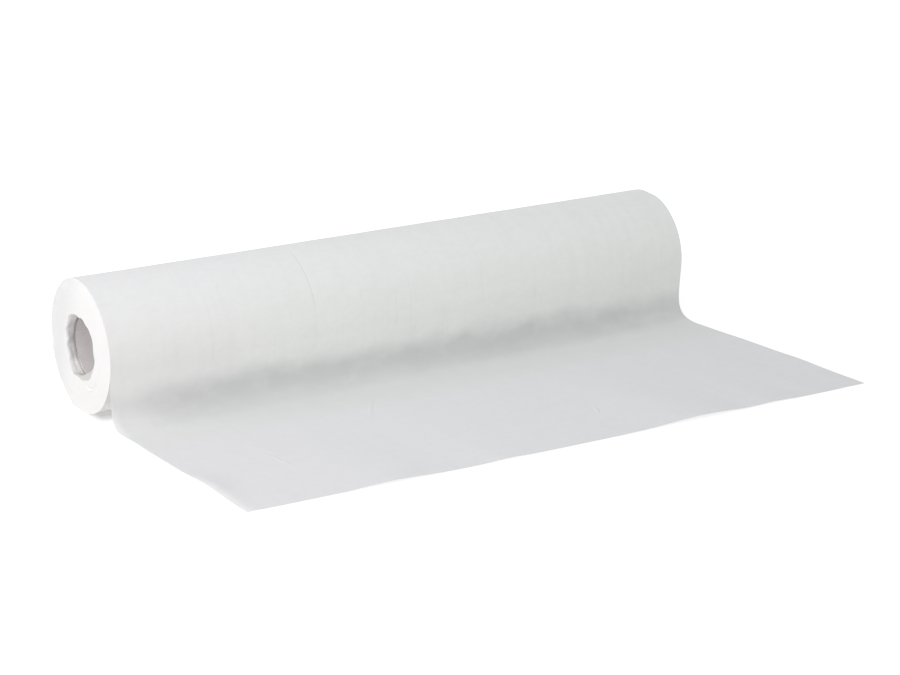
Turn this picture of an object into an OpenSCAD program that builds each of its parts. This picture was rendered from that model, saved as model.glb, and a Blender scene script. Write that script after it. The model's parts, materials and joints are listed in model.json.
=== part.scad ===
// Roll of crepe paper for covering an examination table, with its first length pulled off.
// +Z is up, +X runs along the roll and -Y is the side that the paper comes off.
// The origin is on the table, in the middle of the flat spot that the roll rests on.

/* [Paper roll] */
// Width of the paper, which is the length of the roll
roll_w = 533.4; // [300:0.1:700]
// Diameter over the outer turn
roll_d = 102.6; // [90:0.1:130]
// Thickness of one layer of paper
web_t = 0.17; // [0.12:0.01:0.4]
// Width of the flat spot that the soft roll rests on
flat_spot = 14; // [6:0.5:20]

/* [Ends of the roll] */
// Distance between the grooves that show the turns on each end
turn_pitch = 3.2; // [2.4:0.1:6]
// Width of a groove between two bundles of turns
groove_w = 0.5; // [0.3:0.05:0.9]
// Depth of a groove between two bundles of turns
groove_depth = 0.8; // [0.3:0.1:2]
// Paper left uncut inside the first groove and outside the last
groove_land = 1.8; // [1.5:0.1:3]

/* [Mouth of the hole] */
// How far each end of the core lies inside the paper
core_recess = 7; // [3:0.5:15]
// How much wider than the core the crumpled paper mouth is, on average
mouth_ease = 0.75; // [0.5:0.05:2]
// How far the folds of the mouth lean in and out
fold_depth = 1.5; // [0.5:0.1:1.6]
// Folds around the mouth
fold_count = 9; // [6:1:12]

/* [Core tube] */
// Diameter of the core's bore
bore_d = 46; // [36:0.1:52]
// Wall of the cardboard core
core_wall = 1.3; // [1:0.1:3]
// Chamfer on the rims of the core
core_chamfer = 0.3; // [0.1:0.05:0.8]
// Gap between the core and the paper round it
core_clearance = 0.1; // [0.05:0.01:0.3]
// How far the core sits below the middle of the soft roll
core_sag = 1.1; // [0:0.1:2.5]
// How far the core sits behind the middle of the roll
core_back = 1; // [0:0.1:2]

/* [Leading sheet] */
// Angle below level at which the outer turn leaves the front of the roll
leave_angle = 6; // [3:1:15]
// Length over which the falling paper stays nearly straight
fall_pull = 36; // [25:1:45]
// Length over which the paper turns flat on the table
foot_pull = 28; // [15:1:35]
// Distance in front of the roll to where the paper lies flat
foot_gap = 25; // [18:1:40]
// Mean distance from the middle of the roll to the cut edge
sheet_reach = 261.5; // [150:0.5:600]
// How much further the cut edge reaches at the right end than at the left
edge_skew = 23; // [0:1:40]
// How far the middle of the cut edge bows out
edge_bow = 2.5; // [0:0.5:10]

/* [Hidden] */
// A cut runs this far past the faces that it opens
over = 1;
$fn = 96;
outline_steps = 160;
front_steps = 40;
sheet_steps = 24;
edge_steps = 16;
mouth_steps = 144;
groove_steps = 44;

roll_r = roll_d / 2;
core_or = bore_d / 2 + core_wall;
core_len = roll_w - 2 * core_recess;
seat_r = core_or + core_clearance;
seat_len = core_len + 2 * core_clearance;
mouth_r = core_or + mouth_ease;
inner_r = roll_r - web_t;
// The soft roll is pressed flat below, so its middle is a little lower than its radius
axis_z = sqrt(pow(inner_r, 2) - pow(flat_spot / 2, 2));
core_y = core_back;
core_z = axis_z - core_sag;

// Angles round the roll start level at the front and run down, back and over the top
flat_from = acos(flat_spot / 2 / inner_r);
flat_to = 180 - flat_from;
over_top = 360 + leave_angle;
function on_roll(angle, r) = [-r * cos(angle), axis_z - r * sin(angle)];
// The outer turn climbs by one layer from where the paper leaves to where it comes round again
function turn_r(angle) = inner_r + web_t * (angle - leave_angle) / 360;

// The falling paper is a smooth curve from the front of the roll to the table
fall_from = on_roll(leave_angle, roll_r - web_t / 2);
fall_by = fall_pull * [sin(leave_angle), -cos(leave_angle)];
foot_at = [-roll_r - foot_gap, web_t / 2];
foot_by = [foot_pull, 0];
function fall_point(t) =
    pow(1 - t, 3) * fall_from
    + 3 * pow(1 - t, 2) * t * (fall_from + fall_by)
    + 3 * (1 - t) * t * t * (foot_at + foot_by)
    + pow(t, 3) * foot_at;
function fall_slope(t) =
    pow(1 - t, 2) * fall_by
    + 2 * (1 - t) * t * (foot_at + foot_by - fall_from - fall_by)
    - t * t * foot_by;
function fall_side(t, side) =
    let (way = fall_slope(t))
    fall_point(t) + side * web_t / 2 * [-way[1], way[0]] / norm(way);

// The cut edge runs from the left end, where t is 0, to the right end, where t is 1
function edge_reach(t) = sheet_reach + edge_skew * (t - 0.5) + edge_bow * sin(180 * t);
reach_most = sheet_reach + edge_skew + edge_bow + over;

// One outline goes over the top, down the falling paper, out along the table and back under
module roll_section() {
    polygon(concat(
        [[flat_spot / 2, 0]],
        [for (i = [1 : outline_steps])
            let (angle = flat_to + (over_top - flat_to) * i / outline_steps)
            on_roll(angle, turn_r(angle))],
        [for (i = [1 : sheet_steps]) fall_side(i / sheet_steps, -1)],
        [[-reach_most, web_t], [-reach_most, 0]],
        [for (i = [sheet_steps : -1 : 1]) fall_side(i / sheet_steps, 1)],
        [for (i = [0 : front_steps])
            on_roll(leave_angle + (flat_from - leave_angle) * i / front_steps, inner_r)]
    ));
}

module sheet_plan() {
    translate([0, 0, -over]) linear_extrude(roll_d + 2 * over) polygon(concat(
        [[roll_w / 2, roll_d], [-roll_w / 2, roll_d]],
        [for (i = [0 : edge_steps])
            [roll_w * (i / edge_steps - 0.5), -edge_reach(i / edge_steps)]]
    ));
}

// Turns a drawing in Y and Z into a solid along X, over the given stretch
module along_roll(from, to) {
    translate([from, 0, 0]) rotate([90, 0, 90]) linear_extrude(to - from) children();
}

// The paper at the mouth is crumpled, in uneven folds
function fold_r(angle) = mouth_r + fold_depth * (
    0.6 * cos(fold_count * angle)
    + 0.4 * cos((fold_count + 2) * angle + 70) * sin(angle / 2)
);

module mouth_section() {
    translate([core_y, core_z]) polygon(
        [for (i = [0 : mouth_steps - 1])
            let (angle = 360 * i / mouth_steps)
            fold_r(angle) * [cos(angle), sin(angle)]]
    );
}

// One groove winds outwards between the bundles of turns
groove_from = mouth_r + fold_depth + norm([core_back, core_sag]) + groove_land;
groove_last = floor((inner_r - groove_land - groove_from) / turn_pitch * groove_steps);
function groove_point(i, side) =
    on_roll(360 * i / groove_steps, groove_from + turn_pitch * i / groove_steps + side * groove_w / 2);

module groove_section() {
    polygon(concat(
        [for (i = [0 : groove_last]) groove_point(i, 1)],
        [for (i = [groove_last : -1 : 0]) groove_point(i, -1)]
    ));
}

module core_tube() {
    color("#b8ab9e")
        translate([0, core_y, core_z]) rotate([0, 90, 0]) difference() {
            rotate_extrude() polygon([
                [0, -core_len / 2],
                [core_or - core_chamfer, -core_len / 2],
                [core_or, -core_len / 2 + core_chamfer],
                [core_or, core_len / 2 - core_chamfer],
                [core_or - core_chamfer, core_len / 2],
                [0, core_len / 2]
            ]);
            cylinder(h = core_len + 2 * over, d = bore_d, center = true);
        }
}

module paper_roll() {
    color("#f2f2f0") difference() {
        intersection() {
            along_roll(-roll_w / 2 - over, roll_w / 2 + over) roll_section();
            sheet_plan();
        }
        translate([0, core_y, core_z]) rotate([0, 90, 0])
            cylinder(h = seat_len, r = seat_r, center = true);
        along_roll(-roll_w / 2 - over, -seat_len / 2) mouth_section();
        along_roll(seat_len / 2, roll_w / 2 + over) mouth_section();
        along_roll(-roll_w / 2 - over, -roll_w / 2 + groove_depth) groove_section();
        along_roll(roll_w / 2 - groove_depth, roll_w / 2 + over) groove_section();
    }
}

core_tube();
paper_roll();
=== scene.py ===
"""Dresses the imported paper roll: the wound paper with its leading sheet, the cardboard core and a stage."""

import json
import math

import bpy
import numpy as np
from bpy.props import FloatProperty, FloatVectorProperty, IntProperty, PointerProperty
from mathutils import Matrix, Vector


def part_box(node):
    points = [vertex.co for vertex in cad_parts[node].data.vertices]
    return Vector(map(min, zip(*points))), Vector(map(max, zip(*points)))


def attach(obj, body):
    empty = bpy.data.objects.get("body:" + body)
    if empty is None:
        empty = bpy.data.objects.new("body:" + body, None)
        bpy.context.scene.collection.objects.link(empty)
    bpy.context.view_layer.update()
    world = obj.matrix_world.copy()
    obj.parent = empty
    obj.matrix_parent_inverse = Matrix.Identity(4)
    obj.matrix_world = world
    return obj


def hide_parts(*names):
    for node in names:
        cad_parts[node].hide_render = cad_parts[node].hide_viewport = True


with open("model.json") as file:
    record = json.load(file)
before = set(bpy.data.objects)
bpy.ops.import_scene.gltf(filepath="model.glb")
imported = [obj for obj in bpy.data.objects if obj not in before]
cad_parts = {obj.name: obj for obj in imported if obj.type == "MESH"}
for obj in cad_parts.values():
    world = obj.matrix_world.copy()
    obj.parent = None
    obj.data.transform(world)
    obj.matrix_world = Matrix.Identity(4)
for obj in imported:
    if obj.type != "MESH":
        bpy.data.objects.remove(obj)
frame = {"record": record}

bl_info = {
    "name": "Exam table paper roll",
    "version": (1, 0, 0),
    "blender": (4, 5, 0),
    "location": "3D View > Sidebar > Paper roll",
    "description": "Dresses a roll of crepe paper, its leading sheet and its cardboard core",
    "category": "Object",
}

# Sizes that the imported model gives, in metres
MM = 0.001
roll_low, roll_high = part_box("paper_roll")
core_low, core_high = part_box("core_tube")
HALF_W = roll_high.x
ROLL_R = roll_high.y
AXIS_Z = roll_high.z - ROLL_R
CORE_R = (core_high.y - core_low.y) / 2
CORE_Y = (core_high.y + core_low.y) / 2
CORE_Z = (core_high.z + core_low.z) / 2
CORE_HALF = core_high.x
mounts = {mount["name"]: mount for mount in frame["record"]["mounts"]}
BORE_R = mounts["core_bore"]["dims"]["r_mm"] * MM

# How finely the paper is divided
ARC_STEPS = 150
FALL_STEPS = 36
SHEET_STEPS = 46
FRONT_STEPS = 34
SPOT_STEPS = 4
STATIONS = 116
END_ROWS = 78
MOUTH_ROWS = 12
NOISE_CELLS = 64

# The paper's paints, in their order on its mesh
OUTER, EDGES, MOUTH, INSIDE = range(4)

# The crumpled mouth: angle from the back, rising over the top, in degrees, then in millimetres the
# radius at the mouth, how softly the paper rounds over there, and how far a fold stands in just behind it
MOUTH_FOLDS = (
    (2, 22.6, 2.4, 0), (20, 24.6, 0.6, 0), (33, 23.8, 0.4, 0), (50, 26.6, 0.5, 0), (70, 25.0, 0.4, 0),
    (90, 22.9, 0.4, 0), (105, 24.0, 0.4, 0), (120, 23.0, 0.4, 0), (134, 24.2, 0.4, 0), (154, 25.1, 0.5, 0),
    (176, 23.7, 0.4, 0), (190, 25.6, 0.4, 0.6), (202, 25.0, 0.4, 1.9), (218, 24.6, 0.4, 3.4),
    (232, 25.5, 0.5, 5.2), (246, 25.2, 0.6, 5.6), (258, 25.0, 0.7, 4.8), (270, 25.1, 0.8, 3.2),
    (284, 24.4, 0.5, 0.8), (300, 27.0, 0.6, 0), (318, 25.4, 0.7, 0), (332, 22.9, 1.7, 0), (350, 23.8, 1.0, 0),
)

# Low ripples that lift the cut edge: distance from the left end, half width, height and run, in millimetres
EDGE_LIFTS = (
    (110, 30, 1.7, 90),
    (203, 15, 0.9, 60),
    (372, 42, 2.5, 110),
    (442, 18, 1.0, 70),
)

# Low ripples in the sheet's sides: side, distance from the cut edge, half length, height and width
SIDE_LIFTS = (
    (-1, 58, 26, 2.3, 16),
    (-1, 163, 14, 0.7, 14),
    (1, 72, 24, 0.95, 14),
    (1, 130, 40, 0.6, 16),
)

# Fine fold lines round the roll, painted as shade in the creases: distance from the left end, start and end
# along the paper, half width, in millimetres, and strength
FOLD_LINES = (
    (173, -78, -14, 0.5, 0.45),
    (172.5, -20, 8, 0.6, 0.14),
    (83.6, -50, 14, 1.1, 0.075),
    (90, -52, -18, 1.1, 0.05),
    (238, -28, 12, 1.0, 0.07),
    (245.4, -28, 12, 1.0, 0.08),
    (259, -40, 14, 1.0, 0.10),
)

# Faint wrinkles in the sheet: distance from the left end, distance along the paper, turn in degrees,
# half length, half width and height in millimetres
WRINKLES = (
    (68, 165, 84, 26, 1.8, 0.22),
    (74, 148, 60, 11, 1.5, 0.20),
    (180, 105, 123, 36, 2.4, 0.28),
    (150, 157, 60, 13, 1.5, 0.20),
    (302, 161, 34, 10, 1.8, 0.28),
    (319, 201, 118, 13, 2.4, 0.32),
    (383, 179, 50, 8, 1.8, 0.28),
    (517, 182, 80, 20, 1.8, 0.28),
    (232, 196, 20, 14, 2.0, 0.20),
    (430, 122, 105, 22, 2.4, 0.20),
)

# How far a fold line takes to fade in and out along the paper, in millimetres
FOLD_FADE = 10

# Grain of the paper: size across and along it in millimetres, layer of the noise, detail and roughness
FIBRES = (1.1, 0.5, 3, 3, 0.7)
CLOUDS = (6, 4, 7, 3, 0.6)
BANDS = (9, 160, 11, 2, 0.5)
STREAKS = (2.2, 70, 29, 2, 0.5)
PATCHES = (15, 11, 31, 2, 0.5)
WANDER = (34, 60, 19, 1, 0.5)
BLOTS = (17, 12, 23, 2, 0.5)

# How far the wandering and the blots move the edges of the painted shade in the crease and on the table along
# the paper
WANDER_BY = 9 * MM
BLOTS_BY = 2.5 * MM

# Thin places: the grain that makes them, the levels at which it starts and ends, and its strength
THIN_PLACES = (
    (CLOUDS, 0.35, 0.8, 0.08),
    (BANDS, 0.45, 0.75, 0.05),
    (PATCHES, 0.4, 0.65, 0.04),
)

# Stretches along the paper over which its tone changes, in millimetres from where it leaves the roll; most of
# these tones are painted light and shade.
# A pair of stretches is where a tone comes and where it goes.
TOP_GOES = (-94, -62)
WARM = ((-72, -6), (22, 42))
STREAKS_GROW = (-40, 8)
LIT_LOW = ((-22, -4), (5, 14))
HOLLOW = (12, 33)
FOOT = ((26, 36), (52, 72))
BEND = ((30, 38), (43, 55))
LANDING = (35, 61)
SETTLING = (58, 112)
TABLE = (66, 120)
CORNER = (150, 190)

# Stretches across the paper over which its tone changes, in millimetres from the roll's middle to the right;
# most of these tones are painted light and shade
LEFT_TINT_GOES = (-220, -80)
LIT_LOW_FROM = (-210, -150)
HOLLOW_SOONER = (-200, -60)
BEND_FROM = (-40, 30)
LANDING_LATER = (-20, 50)
TOP_GROWS = (0, 220)
HOLLOW_LATER = (120, 200)
LANDING_LATEST = (150, 240)

# How much sooner or later along the paper a change of tone comes there
HOLLOW_SOONER_BY = 3 * MM
HOLLOW_LATER_BY = 1.5 * MM
LANDING_LATER_BY = 1.8 * MM
LANDING_LATEST_BY = 1 * MM

# The bend's painted shade is fainter round one place, in millimetres from the middle
BEND_FAINT_AT = 135
BEND_FAINT_HALF_W = 50

# Such stretches from the middle to either side, from the middle to the left, and from the left end inwards
SIDES = (150, 260)
LEFT_CORNER = (226, 252)
NEAR_EDGE = (0, 8)

# Stretches on the ends and the core, in millimetres: downwards from the core's middle for the painted shade
# in the mouth, backwards from it over the turns for the painted shade on the end's back, inwards from the
# core's rim for the board's painted light deeper in the bore and for the painted shade on its rim, and
# downwards for where that painted shade grows paler
MOUTH_LOW = (4, 20)
BACK_SHADE = (4, 34)
BORE_DEEP = (0, 30)
CUT_RIM = (0.3, 0.5)
CUT_PALER = (6, 20)

# Waves of the paper: run along it and across it in millimetres, and share of the height
LUMPS = ((60, 90, 1.0), (27, 40, 0.5))
ROUND_BANDS = ((170, 11, 1.0),)
FALL_WAVES = ((30, 35, 1.0), (14, 15, 0.4))
SHEET_WAVES = ((75, 55, 1.0), (28, 20, 0.35))

# The foot of the fall and its leaving angle waver together: runs in millimetres, each with its share, how far
# from the sides the wavering has grown, and how far the angle wavers. The cut edge has its own run.
WAVERS = ((60, 1.0), (22, 0.5))
WAVER_GROWS = (0, 40)
LEAVE_WAVER = math.radians(0.7)
EDGE_WAVER_RUN = 11 * MM

# Stretches along the paper over which its waves come or go, in millimetres from where it leaves the roll, and
# two more from the flat spot onwards and from the sides inwards
LUMPS_GO = (0, 30)
FALL_WAVES_COME = (-20, 10)
FALL_WAVES_GO = (60, 90)
SHEET_WAVES_COME = (75, 115)
LUMPS_COME = (0, 50)
FALL_WAVES_INWARD = (0, 20)

# Share of its waves' height by which the whole sheet stands higher
SHEET_RISE = 0.4

# The stations lie partly evenly and partly bunched near the ends, by this share
BUNCHED = 0.28

# Runs of the end's unevenness, large and small
DISH_RUN = 45 * MM
DIMPLES_RUN = 12 * MM

# Dents in the rim of the left end: degrees below level at the back, half width in degrees, height in
# millimetres. The right end sags a little near its top.
BACK_DENTS = ((15, 2.5, 0.9), (9, 3.5, -1.5))
BACK_DENTS_RUN = 4 * MM
TOP_SAG_AT = 277
TOP_SAG_HALF_W = 9
TOP_SAG = 0.9 * MM
TOP_SAG_RUN = 10 * MM

# The small crease below the mouth of the left end is an arc: its middle, its radius, the depth of its line
# and the height of the ridge beside it
CREASE_Y = -11 * MM
CREASE_Z = 40 * MM
CREASE_R = 18.6 * MM
CREASE_LINE = 0.8 * MM
CREASE_LINE_HALF_W = 0.7 * MM
CREASE_RIDGE = 0.4 * MM
CREASE_RIDGE_HALF_W = 0.9 * MM
CREASE_RIDGE_OFF = 1.3 * MM

# Only a part of the arc shows: its middle along Y, its half width and the heights over which it ends upwards
CREASE_SEEN_Y = -16 * MM
CREASE_SEEN_HALF_W = 9 * MM
CREASE_ENDS = (26, 34)

# How far the turns stand back at the back of the left end, and the stretch backwards over which they do
STEP_BACK = 0.5 * MM
STEPS_BACK = (30, 48)

# Gap round the core, and how far the cut of its rims wanders to either side of its mean
CORE_PLAY = 0.1 * MM
RIM_WAVER = 0.12 * MM

# Soft lamps: name, place and width in metres, and the stage's setting that holds the power
LAMPS = (
    ("side_lamp", (-1.2, 0.1, 0.5), 0.7, "side_power"),
    ("front_lamp", (-1.3, -1.1, 0.6), 0.8, "front_power"),
    ("top_lamp", (-0.8, -0.3, 1.3), 0.8, "top_power"),
)
LAMP_AIM = (0, -0.06, 0.04)

# The lamp in the hollow behind the falling paper: place, the point that it is aimed at, length and width
HOLLOW_LAMP = ((0, -0.042, 0.005), (0, -0.016, 0.010), 0.52, 0.005)

# The floor lies a little lower than the paper. Its real shadow shows near the object's outline and fades away
# from it, and painted shadow deepens it round the foot of the left end, most of all in the contact shadow
# under the roll. Places are in metres, and stretches in millimetres forwards, or to the right from the left
# end.
FLOOR_DROP = 0.05 * MM
OUTLINE_Y = -0.11
OUTLINE_HALF_Y = 0.16
SHADOW_FADES = (50, 250)
LEFT_FOOT_Y = -0.05
LEFT_FOOT_FADES = (60, 100)
CONTACT_FRONT = (24, 36)
CONTACT_DEEPER = (9, 20)
CONTACT_LEFT = (-4, 5)


def length(name, description, default, **limits):
    """A length that a user can change. Its default is written in millimetres."""
    return FloatProperty(
        name=name, description=description, default=default * MM, precision=5, unit="LENGTH", **limits,
    )


def slant(name, description, default):
    """An angle that a user can change. Its default is written in degrees."""
    return FloatProperty(name=name, description=description, default=math.radians(default), subtype="ANGLE")


def tone(name, description, red, green, blue):
    """A colour that a user can change."""
    return FloatVectorProperty(
        name=name, description=description, default=(red, green, blue, 1),
        size=4, min=0, max=1, subtype="COLOR",
    )


def watts(name, description, default):
    """The power of a lamp that a user can change, in watts."""
    return FloatProperty(name=name, description=description, default=default, precision=4, unit="POWER")


class PaperSizes(bpy.types.PropertyGroup):
    """Sizes of the paper: the outer turn, the fall at the front and the leading sheet."""

    paper_t: length("Paper thickness", "Thickness of one layer of paper", 0.17, min=0.05 * MM, max=1 * MM)
    spot_w: length("Flat spot", "Width of the flat spot that the roll rests on", 14, min=2 * MM, max=30 * MM)
    leave_left: slant("Leaving angle, left", "How far below level the outer turn leaves the roll", 7.3)
    leave_right: slant("Leaving angle, right", "How far below level the outer turn leaves the roll", 5.5)
    fall_left: length("Fall, left", "Length over which the falling paper stays nearly straight", 46)
    fall_right: length("Fall, right", "Length over which the falling paper stays nearly straight", 31)
    bend_left: length("Bend, left", "Length over which the paper turns flat on the table", 18)
    bend_right: length("Bend, right", "Length over which the paper turns flat on the table", 32)
    foot_left: length("Foot, left", "Distance from the roll's middle to where the paper lies flat", 73)
    foot_right: length("Foot, right", "Distance from the roll's middle to where the paper lies flat", 75.2)
    foot_waver: length("Foot waver", "How far the foot of the fall wanders along the roll", 1.6)
    reach_left: length("Reach, left", "Distance from the roll's middle to the cut edge", 252.3)
    reach_right: length("Reach, right", "Distance from the roll's middle to the cut edge", 275.3)
    edge_bow: length("Edge bow", "How far the middle of the cut edge bows out", 3)
    edge_waver: length("Edge waver", "How far the cut edge wanders from its smooth line", 0.25)
    roll_lumps: length("Lumps", "Height of the soft lumps of the wound roll", 0.22)
    roll_bands: length("Bands", "Height of the bands that run round the roll", 0.07)
    fall_waves: length("Waves", "Height of the soft waves in the falling paper", 0.45)
    sheet_waves: length("Sheet waves", "Height of the low waves of the sheet on the table", 0.3)
    seed: IntProperty(name="Seed", description="Seed of the paper's waves and lumps", default=11)


class EndSizes(bpy.types.PropertyGroup):
    """Sizes of the roll's two ends, where the edges of the turns show."""

    bundle_pitch: length("Bundle pitch", "Distance between the bundles of turns that stand out", 1.3)
    bundle_step: length("Bundle step", "How far one bundle stands out from the next", 0.1)
    bundle_gap: length("Bundle gap", "Depth of the line between two bundles", 0.13)
    dish: length("Dish", "How far the end wanders from flat over the whole face", 0.45)
    dimples: length("Dimples", "Height of the small unevenness of the end", 0.12)
    rim_gap: length("Rim gap", "Gap between the core's rim and the paper round it", 1.1)
    rim_gap_run: length("Rim gap run", "How far the gap at the rim runs into the roll", 3)
    fold_end: length("Fold end", "How far the folded paper ends outside the core's rim", 0.45)
    fold_ease: length("Fold ease", "How much wider than the core the folded paper is where it ends", 0.3)
    crumple: length("Crumple", "Height of the small creases in the folded paper", 0.25)
    seed: IntProperty(name="Seed", description="Seed of the bundles of turns", default=23)


class CoreSizes(bpy.types.PropertyGroup):
    """Sizes of the cardboard core."""

    sides: IntProperty(name="Sides", description="Faces round the core", default=128, min=24, max=256)
    chamfer: length("Chamfer", "Chamfer of the rims", 0.25)
    seam_pitch: length("Seam pitch", "Length of core in which the spiral seam goes round once", 92)
    seam_w: length("Seam width", "Width of the lapped edge at the seam", 1.1)
    seam_h: length("Seam height", "How far the lapped edge stands into the bore", 0.16)
    lint_count: IntProperty(name="Lint", description="Torn fibres on each rim", default=34)
    lint_size: length("Lint size", "Length of a torn fibre", 0.9)
    seed: IntProperty(name="Seed", description="Seed of the torn fibres", default=5)


class Finishes(bpy.types.PropertyGroup):
    """Colours and relief of the paper and the board, among them copies of the paper and board colours that
    are painted light and shade.
    """

    paper: tone("Paper", "Colour of the crepe paper", 0.831, 0.850, 0.849)
    # Painted light: a lighter copy of the paper for the top of the roll and low at its front
    paper_top_painted_light: tone("Painted top light", "Colour of painted light, at top and front", 0.872, 0.885, 0.885)
    warm_tint: tone("Warm tint", "Tone that the colour is multiplied by low on the roll", 1.0, 1.0, 0.974)
    left_tint: tone("Left tint", "Tone that it is multiplied by near the left end", 1.0, 0.979, 0.992)
    # Painted shade in the bend, at the right
    bend_painted_shade: tone("Bend tint", "Tone that it is multiplied by in the bend, at the right", 0.955, 0.96, 0.96)
    # Painted shade: a darker copy of the paper in the crease, over the hollow behind the falling paper
    paper_crease_painted_shade: tone("Crease shade", "Colour of the painted shade over the hollow", 0.620, 0.634, 0.628)
    # Painted shade: darker copies of the paper just after the fold to the table and, cooler, on the table
    paper_landing_painted_shade: tone("Landing layer", "Colour just after the fold to the table", 0.759, 0.776, 0.770)
    paper_sheet_painted_shade: tone("Sheet shade", "Colour of the layer that lies on the table", 0.760, 0.772, 0.787)
    # Painted light: a lighter copy of the paper on the lifted left edge of the sheet
    paper_edge_painted_light: tone("Lifted edge", "Colour of the edge where it stands off the table", 0.93, 0.93, 0.93)
    # Painted light: a lighter copy of the paper on the sides in the hollow and at the mouth's lip
    paper_inside_painted_light: tone("Inside", "Colour of sides in the hollow, with painted light", 0.93, 0.915, 0.90)
    # Painted shade: a darker copy of the paper in the mouth, and more painted shade low down in it
    paper_mouth_painted_shade: tone("Mouth", "Colour of the thin folded paper in the mouth", 0.79, 0.775, 0.765)
    mouth_low_painted_shade: tone("Mouth, low", "Tone that the mouth is multiplied by low down", 0.74, 0.731, 0.722)
    # Colour of the thin places, and of the painted shade in the fold lines
    paper_thin_and_fold_shade: tone("Thin places", "Colour of the places between the fibre clouds", 0.60, 0.60, 0.60)
    edges: tone("Turn edges", "Colour of the edges of the turns", 0.825, 0.815, 0.813)
    edge_gaps: tone("Turn gaps", "Colour of the lines between bundles of turns", 0.72, 0.71, 0.71)
    # Painted shade on the back of the end
    edge_back_painted_shade: tone("Back shade", "Colour of the end's back, with painted shade", 0.765, 0.76, 0.765)
    board: tone("Board", "Colour of the core's grey board", 0.72, 0.685, 0.685)
    # Painted light: a lighter copy of the board deeper inside the bore
    board_deep_painted_light: tone("Board inside", "Colour of the board further inside the bore", 0.84, 0.80, 0.80)
    # Painted shade: a dark colour on the core's rims, where the gap round them lies in shade
    board_rim_painted_shade: tone("Rim shade", "Painted shade on the core's rims", 0.31, 0.29, 0.28)
    board_fibre: tone("Board fibres", "Colour of the dark fibres in the board", 0.56, 0.52, 0.50)
    lint: tone("Torn fibres", "Colour of the torn fibres on the rims", 0.86, 0.85, 0.82)
    crepe_pitch: length("Crepe pitch", "Distance between the fine crepe ridges", 0.8)
    crepe_run: length("Crepe run", "Length of a crepe ridge across the paper", 7)
    crepe_depth: length("Crepe depth", "Depth of the crepe ridges", 0.06)


class StageSizes(bpy.types.PropertyGroup):
    """Camera, lamps and floor."""

    camera_at: FloatVectorProperty(
        name="Camera", description="Place of the camera", subtype="TRANSLATION",
        size=3, default=(-0.9108, -1.4481, 0.5206), unit="LENGTH",
    )
    azimuth: slant("Azimuth", "Direction that the camera stands in, from the front", -33.93)
    elevation: slant("Elevation", "How far the camera looks down", 16.52)
    lens: FloatProperty(name="Lens", description="Focal length in millimetres", default=88.09, unit="CAMERA")
    side_power: watts("Side lamp", "Power of the soft lamp at the left end", 2.9)
    front_power: watts("Front lamp", "Power of the soft lamp at the front left", 7.5)
    top_power: watts("Top lamp", "Power of the soft lamp above", 3.1)
    hollow_power: watts("Hollow lamp", "Power of the lamp for light that comes through the paper", 0.015)
    world_light: FloatProperty(
        name="Room light", description="Strength of the even light from all round", default=0.63,
    )
    floor_size: FloatProperty(name="Floor", description="Side of the floor", default=30, unit="LENGTH")


GROUPS = {
    "roll_paper": PaperSizes,
    "roll_ends": EndSizes,
    "roll_core": CoreSizes,
    "roll_finish": Finishes,
    "roll_stage": StageSizes,
}


class Term:
    """An output of a node tree, which takes part in arithmetic by adding Math nodes."""

    def __init__(self, graph, socket):
        self.graph = graph
        self.socket = socket

    def math(self, operation, first, second):
        return self.graph.add("ShaderNodeMath", {"operation": operation}, {0: first, 1: second})

    def __add__(self, other):
        return self.math("ADD", self, other)

    def __radd__(self, other):
        return self.math("ADD", other, self)

    def __sub__(self, other):
        return self.math("SUBTRACT", self, other)

    def __rsub__(self, other):
        return self.math("SUBTRACT", other, self)

    def __mul__(self, other):
        return self.math("MULTIPLY", self, other)

    def __rmul__(self, other):
        return self.math("MULTIPLY", other, self)

    def __truediv__(self, other):
        return self.math("DIVIDE", self, other)

    def __pow__(self, other):
        return self.math("POWER", self, other)

    def __abs__(self):
        return self.graph.add("ShaderNodeMath", {"operation": "ABSOLUTE"}, {0: self})

    def most(self, other):
        """The greater of the two."""
        return self.math("MAXIMUM", self, other)


class Graph:
    """A node tree, for a material or for geometry, that is written as expressions."""

    def __init__(self, tree):
        self.tree = tree
        self.tree.nodes.clear()

    def add(self, kind, settings=None, inputs=None, output=0):
        """Adds a node, sets it up, fills or links its sockets and returns one of its outputs."""
        node = self.tree.nodes.new(kind)
        for name, value in (settings or {}).items():
            setattr(node, name, value)
        for name, value in (inputs or {}).items():
            if isinstance(value, Term):
                self.tree.links.new(value.socket, node.inputs[name])
            else:
                node.inputs[name].default_value = value
        return Term(self, node.outputs[output]) if len(node.outputs) else None


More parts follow.
